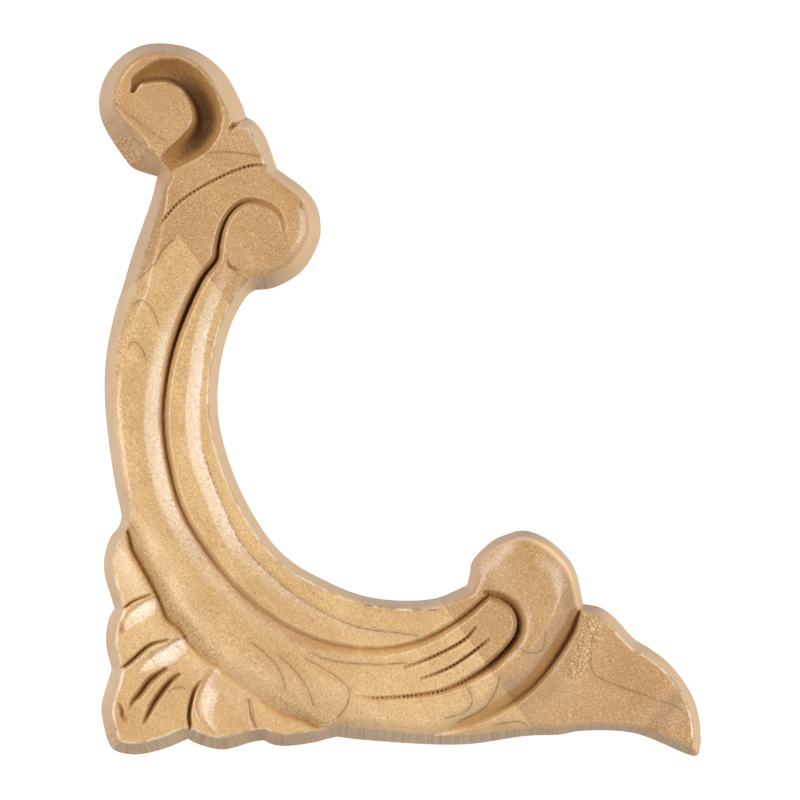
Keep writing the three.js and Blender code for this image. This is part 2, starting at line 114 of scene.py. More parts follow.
# ridges that the uncut carving follows: level and line
crownRidges = {
    "upperVoluteDisc": (0.82, [[72, 905]]),
    "upperVoluteRim": (0.82, [[30, 900], [45, 960], [100, 985], [160, 950], [182, 915]]),
    "neck": (0.86, [[180, 870], [140, 830], [100, 790]]),
    "collarLobe": (0.70, [[229, 849]]),
    "lowerVoluteDisc": (0.93, [[220, 734]]),
    "lowerVoluteRim": (0.86, [[190, 795], [250, 800], [292, 760], [290, 710], [250, 675]]),
    "outerBand": (0.93, [[130, 730], [93, 660], [70, 600], [52, 500], [60, 400], [80, 320], [150, 220],
                         [230, 130], [330, 90], [450, 85], [520, 60]]),
    "innerBand": (0.86, [[185, 690], [150, 640], [115, 540], [112, 456], [135, 370], [180, 290],
                         [240, 225], [320, 180], [400, 170], [480, 190], [530, 225]]),
    "fingers": (0.95, [[470, 130], [560, 180]]),
    "bulb": (1.009, [[597, 240], [620, 200], [600, 130]]),
    "topLeafLobe": (0.565, [[18, 290], [18, 235]]),
    "sideLeafLobe": (0.6, [[29, 161]]),
    "tailRoot": (0.64, [[700, 185], [680, 140], [640, 85], [570, 45]]),
    "bulbFlank": (0.94, [[640, 215], [625, 165], [570, 100], [520, 72]]),
    "heartOfLeaf": (0.71, [[60, 230], [86, 150], [150, 80], [230, 50]]),
    "lowerLeafLobes": (0.655, [[25, 90], [36, 25], [163, 30], [268, 25], [324, 36]]),
    "tail": (0.62, [[690, 140], [750, 100], [700, 60], [600, 50]]),
    "tailTip": (0.42, [[829, 21]]),
}

# broad slopes that the carver cut first: depth along the line, for each flank (right and left when
# walking along it) its widths in plan units and its form, and how strongly a highlight is painted on it, paler
slopes = {
    "outerBandSlope": {
        "line": [[160, 688], [147, 665], [111, 581], [97, 519], [94, 456], [114, 358], [142, 304],
                 [198, 233], [251, 190], [317, 160], [383, 151]],
        "depth": [0, 0.05, 0.09, 0.095, 0.095, 0.09, 0.07, 0.05, 0.02],
        "right": ([20, 30, 32, 32, 30, 30], "eased"),
        "left": ([8], "eased"),
        "tone": [0.3],
    },
    "innerBandLedge": {
        "line": [[186, 672], [178, 655], [163, 617], [152, 575], [146, 520], [143, 490], [147, 430],
                 [168, 369], [202, 297], [223, 273], [271, 230], [324, 198], [367, 181], [417, 174], [447, 170]],
        "depth": [0.03, 0.075, 0.085, 0.085, 0.085, 0.08, 0.06, 0.035, 0.02, 0.01],
        "right": ([16, 20, 21, 21, 18], "straight"),
        "left": ([40], "level"),
        "tone": [0.35],
    },
    "underLowerVolute": {
        "line": [[190, 684], [196, 676], [206, 670], [218, 667], [232, 660]],
        "depth": [0.02, 0.07, 0.1, 0.1, 0.08],
        "right": ([3], "straight"),
        "left": ([14, 20, 24, 26], "eased"),
    },
    "topLobeFacet": {
        "line": [[37, 184], [47, 200], [68, 216], [79, 221]],
        "depth": [0.03, 0.062, 0.066, 0.055],
        "right": ([8, 18, 20, 17], "straight"),
        "left": ([7], "eased"),
        "tone": [1.0],
    },
    "sideLobeFacet": {
        "line": [[60, 124], [75, 141], [97, 155], [115, 165]],
        "depth": [0.02, 0.08, 0.09, 0.06],
        "right": ([8, 22, 26, 18], "straight"),
        "left": ([2], "straight"),
        "tone": [0.9],
    },
    "footLobeFacet": {
        "line": [[164, 35], [147, 58], [143, 77], [149, 98], [165, 123]],
        "depth": [0.01, 0.06, 0.085, 0.08, 0.03],
        "right": ([5, 16, 24, 22, 8], "straight"),
        "left": ([9], "eased"),
        "tone": [0.8],
    },
    "tailShoulder": {
        "line": [[679, 212], [672, 199], [663, 174], [604, 94], [527, 49], [457, 28]],
        "depth": [0.11, 0.13, 0.13, 0.12, 0.1, 0.07, 0.03],
        "right": ([34, 38, 36, 28, 18], "straight"),
        "left": ([5], "straight"),
    },
    "bulbHollow": {
        "line": [[564, 220], [579, 208], [586, 189], [581, 168], [543, 128], [491, 98]],
        "depth": [0.02, 0.07, 0.08, 0.07, 0.04, 0],
        "right": ([2], "straight"),
        "left": ([20, 24, 20], "eased"),
    },
}

# narrow cuts of the gouge and the parting tool, laid out as the slopes are; their tone is stain and
# painted shade, darker
cuts = {
    "mainCrease": {
        "line": [[261, 732], [257, 750], [247, 763], [217, 774], [199, 769], [185, 755], [176, 736],
                 [171, 714], [168, 694], [147, 665], [111, 581], [97, 519], [94, 456], [114, 358], [142, 304],
                 [198, 233], [251, 190], [317, 160], [383, 151], [450, 163], [506, 194], [544, 226]],
        "depth": [0.04, 0.13, 0.18, 0.22, 0.17, 0.14, 0.13, 0.12, 0.11, 0.09, 0.09, 0.09, 0.11, 0.15, 0.18],
        "right": ([5, 7, 9, 10, 7, 6, 6, 8, 11, 12, 10, 8, 7], "straight"),
        "left": ([5, 8, 10, 10, 7, 6, 6, 6, 7, 8, 7], "round"),
        "beads": 0.03,
        "tone": [0.6, 1.2, 1.6, 1.4, 0.8, 0.5, 0.5, 0.5, 0.5, 0.6, 0.6, 0.45, 0.25],
    },
    "voluteGroove": {
        "line": [[51, 929], [58, 943], [76, 949], [99, 949], [118, 940], [134, 923], [145, 903], [147, 883],
                 [138, 862], [121, 844], [104, 828], [88, 815]],
        "depth": [0.12, 0.26, 0.34, 0.4, 0.44, 0.48, 0.5, 0.5, 0.44, 0.34, 0.2, 0.03],
        "right": ([4, 8, 10, 9, 8, 10, 13, 15, 17, 18, 18, 12], "cove"),
        "left": ([5, 10, 21, 28, 28, 28, 27, 26, 23, 17, 11, 7], "cove"),
        "beads": 0.0,
        "tone": [0.42],
    },
    "collarLine": {
        "line": [[72, 724], [79, 735], [94, 750], [116, 774], [170, 807], [219, 825], [250, 822]],
        "depth": [0.06, 0.06, 0.07, 0.08, 0.08],
        "right": ([3], "straight"),
        "left": ([3], "straight"),
        "beads": 0.5,
        "tone": [1.0],
    },
    "dimple": {
        "line": [[183, 690], [186, 683], [194, 679]],
        "depth": [0.05, 0.09, 0.05],
        "right": ([3], "straight"),
        "left": ([4], "straight"),
        "beads": 0.0,
        "tone": [0.8],
    },
    "upperDent": {
        "line": [[31, 73], [35, 63]],
        "depth": [0.05, 0.1],
        "right": ([4], "straight"),
        "left": ([4], "straight"),
        "beads": 0.0,
        "tone": [0.5],
    },
    "lowerDent": {
        "line": [[34, 60], [39, 51]],
        "depth": [0.1, 0.05],
        "right": ([4], "straight"),
        "left": ([5], "straight"),
        "beads": 0.0,
        "tone": [0.5],
    },
    "chip": {
        "line": [[137, 984], [144, 980]],
        "depth": [0.05],
        "right": ([4], "straight"),
        "left": ([4], "straight"),
        "beads": 0.0,
    },
    "collarNotch": {
        "line": [[211, 897], [203, 889], [192, 882], [184, 873]],
        "depth": [0.6, 0.42, 0.18, 0.02],
        "right": ([4], "straight"),
        "left": ([5], "straight"),
        "beads": 0.0,
        "tone": [0.35],
        "cutsWall": True,
    },
    "fingerGroove": {
        "line": [[544, 226], [564, 220], [579, 208], [586, 189], [581, 168], [543, 128], [491, 98],
                 [460, 90], [390, 84], [363, 86]],
        "depth": [0.16, 0.22, 0.26, 0.28, 0.24, 0.17, 0.13, 0.11, 0.1, 0.08, 0.02],
        "right": ([8, 9, 9, 6, 5, 4], "round"),
        "left": ([9, 11, 11, 7, 5, 4], "straight"),
        "beads": 0.45,
        "tone": [0.4, 0.4, 0.4, 0.45, 0.6, 0.6],
    },
    "upperFinger": {
        "line": [[429, 126], [466, 140], [512, 165], [527, 181]],
        "depth": [0.04, 0.09, 0.1, 0.11, 0.06],
        "right": ([3, 4], "straight"),
        "left": ([3], "straight"),
        "beads": 0.35,
        "tone": [1.0],
    },
    "lowerFinger": {
        "line": [[452, 110], [485, 123], [509, 137], [546, 165]],
        "depth": [0.04, 0.1, 0.11, 0.12, 0.05],
        "right": ([3, 4], "straight"),
        "left": ([3], "straight"),
        "beads": 0.35,
        "tone": [1.0],
    },
    "tailCrease": {
        "line": [[679, 212], [672, 199], [663, 174], [604, 94], [527, 49], [457, 28]],
        "depth": [0.14, 0.17, 0.17, 0.14, 0.11, 0.09, 0.08, 0.06, 0.02],
        "right": ([16, 20, 20, 16, 12], "eased"),
        "left": ([6, 8, 8, 7, 6, 5], "round"),
        "beads": 0.05,
        "tone": [0.04],
    },
    "leafCrease": {
        "line": [[32, 334], [42, 313], [48, 289], [59, 269], [84, 222], [97, 192], [112, 180],
                 [130, 156], [149, 137], [167, 125], [237, 72], [262, 58], [290, 48], [334, 26]],
        "depth": [0.14, 0.18, 0.2, 0.2, 0.16, 0.1, 0.07, 0.06, 0.08, 0.14, 0.12],
        "right": ([6, 9, 10, 10, 9, 7], "round"),
        "left": ([14, 18, 22, 22, 18, 14], "eased"),
        "beads": 0.0,
        "tone": [0.3],
    },
    "topLobeGroove": {
        "line": [[22, 206], [36, 208], [49, 217], [81, 229]],
        "depth": [0.1, 0.12, 0.1, 0.07],
        "right": ([3], "straight"),
        "left": ([4], "round"),
        "beads": 0.1,
        "tone": [0.35],
    },
    "sideLobeGroove": {
        "line": [[18, 121], [35, 126], [73, 157], [97, 164]],
        "depth": [0.1, 0.15, 0.18, 0.16, 0.07],
        "right": ([5, 6, 4], "straight"),
        "left": ([4, 5, 3], "round"),
        "beads": 0.05,
        "tone": [0.3],
    },
    "upperVein": {
        "line": [[46, 67], [49, 77], [59, 88], [73, 107], [95, 123]],
        "depth": [0.03, 0.15, 0.18, 0.18, 0.1],
        "right": ([3, 6, 7, 5], "straight"),
        "left": ([3, 6, 6, 4], "straight"),
        "beads": 0.12,
        "tone": [0.55],
    },
    "lowerVein": {
        "line": [[63, 43], [80, 77], [105, 109], [114, 115]],
        "depth": [0.02, 0.14, 0.18, 0.18, 0.08],
        "right": ([3, 6, 6, 4], "straight"),
        "left": ([3, 6, 6, 4], "straight"),
        "beads": 0.12,
        "tone": [0.55],
    },
    "footLobeGroove": {
        "line": [[125, 23], [129, 42], [128, 60], [136, 94], [143, 104]],
        "depth": [0.12, 0.17, 0.2, 0.17, 0.06],
        "right": ([4], "straight"),
        "left": ([4], "straight"),
        "beads": 0.05,
        "tone": [0.3],
    },
    "endLobeGroove": {
        "line": [[231, 21], [222, 34], [215, 58], [212, 78]],
        "depth": [0.06, 0.05, 0.05, 0.04],
        "right": ([5], "straight"),
        "left": ([8], "round"),
        "beads": 0.0,
    },
}

# thin brown growth lines on the face
growthLines = {
    "firstArch": [[51, 629], [57, 635], [64, 636], [72, 631], [80, 619], [86, 603]],
    "secondArch": [[45, 571], [49, 579], [55, 578], [62, 571], [70, 553]],
    "boardEnd": [[108, 721], [101, 716], [92, 706], [83, 690], [68, 675], [53, 663]],
    "footCurve": [[216, 161], [235, 145], [253, 125], [262, 101], [263, 94]],
    "footSecond": [[252, 144], [275, 123], [293, 98], [302, 73]],
    "footThird": [[290, 139], [313, 126], [335, 112], [351, 95], [348, 73], [335, 55]],
    "onBand": [[146, 430], [168, 369], [202, 297], [223, 273], [271, 230], [324, 198], [367, 181],
               [417, 174], [447, 170]],
    "onRidge": [[376, 212], [410, 209], [440, 207], [478, 206]],
    "onVolute": [[25, 912], [45, 895], [80, 868], [98, 857]],
    "onCollar": [[149, 841], [177, 843], [205, 841], [229, 836]],
    "onLowerVolute": [[251, 811], [271, 799], [282, 781], [285, 764]],
    "onTail": [[690, 175], [690, 120], [700, 111], [722, 101], [750, 91], [778, 81], [806, 71], [823, 58]],
    "onEndLobe": [[211, 79], [214, 59], [222, 42], [230, 20]],
    "onFootLobe": [[99, 92], [107, 96], [120, 98], [124, 94]],
    "onBulb": [[625, 174], [620, 151], [604, 146], [585, 154]],
    "innerArc": [[485, 55], [515, 66], [523, 81], [515, 98]],
    "outerArc": [[502, 49], [540, 70], [555, 93], [561, 114]],
    "onTriangle": [[555, 46], [593, 49], [602, 39]],
    "belowCrease": [[296, 147], [324, 136], [394, 130], [432, 133]],
}

# places where the tool tore the fibres or left them dull: width in mm, strength and line
tornPlaces = {
    "besideLeaf": (3.0, 0.8, [[46, 318], [56, 288], [72, 258], [94, 218], [120, 184], [160, 146]]),
    "hollowFoot": (2.4, 1.0, [[92, 818], [120, 836], [145, 858], [158, 880]]),
    "underArm": (2.6, 0.9, [[250, 80], [288, 57], [325, 45], [350, 40]]),
    "besideTail": (3.6, 1.0, [[682, 200], [686, 176], [678, 148], [664, 124]]),
    "underLowerVolute": (3.6, 0.9, [[218, 660], [250, 663], [285, 682], [302, 708]]),
    "upperVoluteFoot": (4.5, 1.3, [[30, 862], [50, 838], [85, 822]]),
    "upperVoluteLeft": (2.4, 0.6, [[24, 935], [22, 905], [28, 880], [40, 858]]),
    "hollow": (3.2, 0.8, [[85, 962], [120, 957], [155, 937], [168, 905]]),
    "outerShoulder": (4.5, 0.6, [[74, 735], [58, 690], [45, 640], [34, 590], [27, 550]]),
    "tailTip": (2.6, 0.6, [[770, 42], [800, 28], [828, 16]]),
}

# orange-brown stains and the burn of a tool, and painted shade at the leaf's foot and the finger's
# head, laid out the same way
stainAndShadePlaces = {
    "burn": (1.5, 1.4, [[32, 178], [34, 182]]),
    "voluteFoot": (5, 0.5, [[20, 880], [35, 850], [60, 828], [90, 815]]),
    "underBand": (1.6, 0.5, [[270, 166], [290, 160], [330, 153], [352, 152]]),
    "gum": (1.2, 0.7, [[355, 96]]),
    "besideCrease": (1.2, 0.4, [[196, 238], [225, 214], [250, 196]]),
    "footOfCrease": (1.2, 0.45, [[96, 470], [98, 430], [104, 395]]),
    "topOfVolute": (2.4, 0.4, [[48, 940], [62, 962], [90, 975]]),
    # painted shade: the finger's head and the leaf's foot, darker as less light falls there
    "fingerHeadShade": (2.0, 0.3, [[548, 186], [572, 160]]),
    "leafFootShade": (9, 0.4, [[40, 40], [90, 70], [130, 95], [190, 60], [260, 40]]),
}

planUnit = onlay["height"] / 1000


# plan points to metres right and up of the origin
def toMetres(planPoints):
    return (np.asarray(planPoints, float) - onlay["originInPlan"]) * planUnit


# Evenly spaced points on the centripetal Catmull-Rom curve through plan points: between two points b
# and c it blends the straight lines of each neighbouring pair, by the square roots of their lengths
def smoothLine(planPoints, step):
    p = toMetres(planPoints)
    if len(p) == 1:
        return np.vstack([p, p + [1e-5, 0]])
    p = np.vstack([2 * p[0] - p[1], p, 2 * p[-1] - p[-2]])
    stretches = []
    for a, b, c, d in zip(p[:-3], p[1:-2], p[2:-1], p[3:]):
        t1 = np.hypot(*(b - a)) ** 0.5
        t2 = t1 + np.hypot(*(c - b)) ** 0.5
        t3 = t2 + np.hypot(*(d - c)) ** 0.5
        t = np.linspace(t1, t2, 16, endpoint=False)[:, None]
        ab = a + (b - a) * t / t1
        bc = b + (c - b) * (t - t1) / (t2 - t1)
        cd = c + (d - c) * (t - t2) / (t3 - t2)
        abc = ab + (bc - ab) * t / t2
        bcd = bc + (cd - bc) * (t - t1) / (t3 - t1)
        stretches.append(abc + (bcd - abc) * (t - t1) / (t2 - t1))
    line = np.vstack(stretches + [p[-2:-1]])
    walked = np.r_[0, np.cumsum(np.hypot(*np.diff(line, axis=0).T))]
    even = np.linspace(0, walked[-1], max(2, round(walked[-1] / step) + 1))
    return np.stack([np.interp(even, walked, line[:, i]) for i in (0, 1)], 1)


# outline points, and at each of them the edge's wall width, roll width and wall share
ringParts, ringEdges = [], []
for stations, line in outlineRuns.values():
    part = smoothLine(line, onlay["curveStep"])[:-1]
    along = np.linspace(0, 1, len(part))
    ringParts.append(part)
    ringEdges.append(np.stack([np.interp(along, np.linspace(0, 1, len(stations)), [s[i] for s in stations])
                               for i in range(3)], 1))
ring, ringEdges = np.vstack(ringParts), np.vstack(ringEdges) * [planUnit, planUnit, 1]
for turn in range(3):
    ringEdges = sum(np.roll(ringEdges, shift, 0) for shift in range(-2, 3)) / 5

# square grid of nodes, with an even number of steps each way
step = onlay["fineStep"]
low, high = ring.min(0) - 3 * step, ring.max(0) + 3 * step
xs, zs = (low[i] + step * np.arange(2 * int(np.ceil((high[i] - low[i]) / step / 2)) + 1) for i in (0, 1))
shape = (len(xs), len(zs))


# For every node: distance to the nearest place of a line, the length walked to there, and the side of
# the line (right is positive). Each segment is tried on the block of nodes within reach of it.
def nearest(line, reach):
    best, walk, side = np.full(shape, 1e3), np.zeros(shape), np.ones(shape)
    before = 0
    for start, end in zip(line[:-1], line[1:]):
        way = end - start
        size = np.hypot(*way)
        lowest, highest = np.minimum(start, end) - reach, np.maximum(start, end) + reach
        i = slice(*np.searchsorted(xs, (lowest[0], highest[0])))
        j = slice(*np.searchsorted(zs, (lowest[1], highest[1])))
        x, z = xs[i, None] - start[0], zs[None, j] - start[1]
        t = np.clip((x * way[0] + z * way[1]) / size ** 2, 0, 1)
        away = np.hypot(x - t * way[0], z - t * way[1])
        closer = away < best[i, j] - 1e-9
        best[i, j][closer] = away[closer]
        walk[i, j][closer] = (before + t * size)[closer]
        side[i, j][closer] = np.sign(x * way[1] - z * way[0])[closer]
        before += size
    return best, walk, side, before


# value at a share of the way through an evenly spaced list
def listAt(values, share):
    return np.interp(share, np.linspace(0, 1, len(values)), values)


# smooth step from 0 to 1 between two values
def ease(value, start, end):
    t = np.clip((value - start) / (end - start), 0, 1)
    return t * t * (3 - 2 * t)


# Blur by a bell curve of the given width, first along one axis and then along the other
def blur(field, width):
    reach = int(np.ceil(2.5 * width / step))
    bell = np.exp(-0.5 * (np.arange(-reach, reach + 1) * step / width) ** 2)
    bell /= bell.sum()
    for axis in (0, 1):
        padded = np.pad(field, [(reach, reach) if axis == i else (0, 0) for i in (0, 1)], mode="edge")
        parts = [np.take(padded, np.arange(field.shape[axis]) + k, axis) * b for k, b in enumerate(bell)]
        field = sum(parts)
    return field


# How much of a cut's depth is left at a share t of the way up its flank: straight 1 - t, round a
# quarter circle over the top, cove a gouge's hollow, eased a slope that flattens at its top, level
# a flat step
def flankLeft(t, form):
    t = np.clip(t, 0, 1)
    if form == "straight":
        return 1 - t
    if form == "round":
        return 1 - np.sqrt(1 - (1 - t) ** 2)
    if form == "cove":
        return (1 - t * t) ** 0.7
    if form == "level":
        return 1 - ease(t, 0.8, 1)
    return 1.2 * (1 - t) ** 2 / (1 - t + 0.2)


# Which nodes lie inside the outline: going right, each crossing of the ring changes sides
def insideNodes():
    turns = np.zeros((shape[0] + 1, shape[1]), int)
    for a, b in zip(ring, np.roll(ring, -1, 0)):
        rows = np.flatnonzero((zs > min(a[1], b[1])) & (zs <= max(a[1], b[1])))
        if len(rows):
            x = a[0] + (zs[rows] - a[1]) * (b[0] - a[0]) / (b[1] - a[1])
            turns[np.searchsorted(xs, x), rows] += 1
    return np.cumsum(turns, 0)[:-1] % 2 == 1


# Height of the uncut carving: the ridges' levels, weighted by a bell curve of the distance to each
def crownHeight():
    weights, total = np.full(shape, 1e-9), np.full(shape, 0.8e-9)
    for level, line in crownRidges.values():
        away = nearest(smoothLine(line, 2 * mm), 30 * mm)[0] / (onlay["crownReach"] * planUnit)
        weight = np.exp(-away ** 2 / 2) + 1e-6 / (1 + away ** 2)
        weights, total = weights + weight, total + weight * level
    return total / weights * onlay["thickness"]


# Depth taken out by a set of cuts: the deepest one counts. Beads are the chatter of the tool, a
# ripple of the depth along the line. Tone is the depth too, times each cut's own share; a broad slope
# has it on its right flank only. In cuts the tone is stain and painted shade, on slopes a painted
# highlight.
def cutDepth(cutSet, fade, usualTone):
    depthHere, near, tone = np.zeros(shape), np.full(shape, 1e3), np.zeros(shape)
    for cut in cutSet.values():
        widest = max(cut["right"][0] + cut["left"][0]) * planUnit
        away, walk, side, length = nearest(smoothLine(cut["line"], onlay["curveStep"]), widest + step)
        share = walk / length
        turns = 2 * np.pi * walk / onlay["beadPitch"]
        uneven = np.sin(turns + 0.6 * np.sin(turns / 4.3)) * (0.7 + 0.3 * np.sin(turns / 7.1 + 1))
        depth = listAt(cut["depth"], share)
        beads = cut.get("beads", 0) * np.minimum(1, (onlay["beadDepth"] / np.maximum(depth, 0.01)) ** 2)
        depth *= onlay["thickness"] * (1 + beads * uneven * np.exp(-(away / onlay["beadReach"]) ** 2))
        kept = 1 if "cutsWall" in cut else fade
        for sign, flank in ((1, "right"), (-1, "left")):
            widths, form = cut[flank]
            t = away / (listAt(widths, share) * planUnit)
            taken = np.where(side * sign > 0, depth * flankLeft(t, form), 0)
            depthHere = np.maximum(depthHere, taken * kept)
            if flank == "right" or usualTone > 0:
                tone = np.maximum(tone, listAt(cut.get("tone", [usualTone]), share) * taken)
            near = np.where((side * sign > 0) & (t < 1.25), np.minimum(near, away), near)
    return depthHere, near, tone


# Height of the carved face over the back at every node, and the masks and distances that the mesh and
# the wood use
def carve():
    inside = insideNodes()
    away, walk, side, length = nearest(np.vstack([ring, ring[:1]]), onlay["edgeReach"])
    gap = np.where(inside, 1, -1) * np.minimum(away, onlay["edgeReach"])
    softened = blur(gap, onlay["ridgeSoftening"])
    inset = gap + (softened - gap) * ease(gap, 1 * mm, 2.5 * mm)
    ringWalk = np.linspace(0, 1, len(ring) + 1)
    wall, roll, share = (np.interp(walk / length, ringWalk, np.r_[ringEdges[:, i], ringEdges[0, i]])
                         for i in range(3))
    # slope tone: how strongly a highlight is painted, paler, on the slopes
    slopeDepth, _, paintedHighlight = cutDepth(slopes, 1, 0)
    fade = ease(gap, 0.5 * wall, wall + 0.3 * mm)
    onWall = onlay["grooveOnWall"]
    # cut tone: stain and painted shade in the cuts
    groove, near, stainAndShade = cutDepth(cuts, onWall + (1 - onWall) * fade, 0.15)
    uncut = crownHeight() - slopeDepth
    up = np.clip((inset - wall) / roll, 0, 1)
    rolled = share + (1 - share) * (1 - (1 - up) ** onlay["rollPower"])
    rise = np.where(inset < wall, share * inset / wall, rolled)
    edge = onlay["backEdge"]
    height = edge + (uncut - edge) * np.clip(rise, 0, 1)
    height = np.minimum(height, np.maximum(uncut - groove, edge + onlay["deepestCut"] * (height - edge)))
    wallShare = ease(wall + 0.2 * roll - gap, -0.3 * mm, 0.3 * mm)
    wallShare *= 1 - 0.9 * ease(wall, 22 * planUnit, 29 * planUnit)
    # the arris at the wall's top, where a highlight is painted paler
    paintedArrisHighlight = np.exp(-0.5 * ((gap - wall - 0.4 * roll) / onlay["arrisWidth"]) ** 2) * ease(share, 0.93, 0.96)
    return inside, gap, height, near, wallShare, paintedArrisHighlight, groove, stainAndShade, paintedHighlight, walk


# Distances and shares that the wood's colour follows, at every node: the growth lines, hollows and
# arrises of the cuts (their depth against its own blur), wall, and slopes torn against the grain.
# Hollows get stain and painted shade, arrises and polished slopes a painted highlight, walls facing
# right painted light and walls facing down saw marks with painted shade; the stains include painted
# shade.
def finishFields(wallShare, paintedArrisHighlight, groove, stainAndShade, paintedHighlight, walk, gap):
    right, up = (-slope for slope in np.gradient(blur(gap, 0.5 * mm), step))
    lip = blur(groove, 0.22 * mm) - groove
    nearLine, torn = np.full(shape, 1e3), np.zeros(shape)
    for line in growthLines.values():
        nearLine = np.minimum(nearLine, nearest(smoothLine(line, onlay["curveStep"]), 1.5 * mm)[0])
    for width, strength, line in tornPlaces.values():
        away = nearest(smoothLine(line, mm), width * mm)[0]
        torn = np.maximum(torn, strength * (1 - ease(away, 0.2 * width * mm, width * mm)))
    stainsAndShade = np.zeros(shape)
    for width, strength, line in stainAndShadePlaces.values():
        away = nearest(smoothLine(line, mm), width * mm)[0]
        stainsAndShade = np.maximum(stainsAndShade, strength * (1 - ease(away, 0, width * mm)))
    return {
        "growthLine": np.minimum(nearLine, 2 * mm) / mm,
        # stain and painted shade in the hollows
        "hollow": (groove - blur(groove, 0.6 * mm) + stainAndShade) / mm * (1 - 0.8 * wallShare),
        # painted highlight along the arrises and the lips of the cuts
        "paintedArrisHighlight": np.maximum(np.minimum(lip / mm * 4, 0.8), 1.5 * paintedArrisHighlight) * (1 - np.clip(torn, 0, 1)),
        "wall": wallShare,
        "torn": torn * (1 - 0.75 * wallShare),
        "walk": walk / mm,
        # painted light on walls facing right
        "rightWallLit": wallShare * ease(right, 0.1, 0.8),
        # saw marks, with painted shade on walls facing down
        "sawnAndShadedBelow": wallShare * (0.2 + 0.8 * ease(-up, 0, 0.7)),
        # stains, and painted shade at the leaf's foot and the finger's head
        "stainsAndShade": stainsAndShade,
        # painted highlight on the polished slopes
        "paintedHighlight": np.clip(2 * paintedHighlight / mm, 0, 1),
    }


inside, gap, height, near, wallShare, paintedArrisHighlight, groove, stainAndShade, paintedHighlight, walk = carve()
finish = finishFields(wallShare, paintedArrisHighlight, groove, stainAndShade, paintedHighlight, walk, gap)
print("carving worked out on", shape, "nodes")


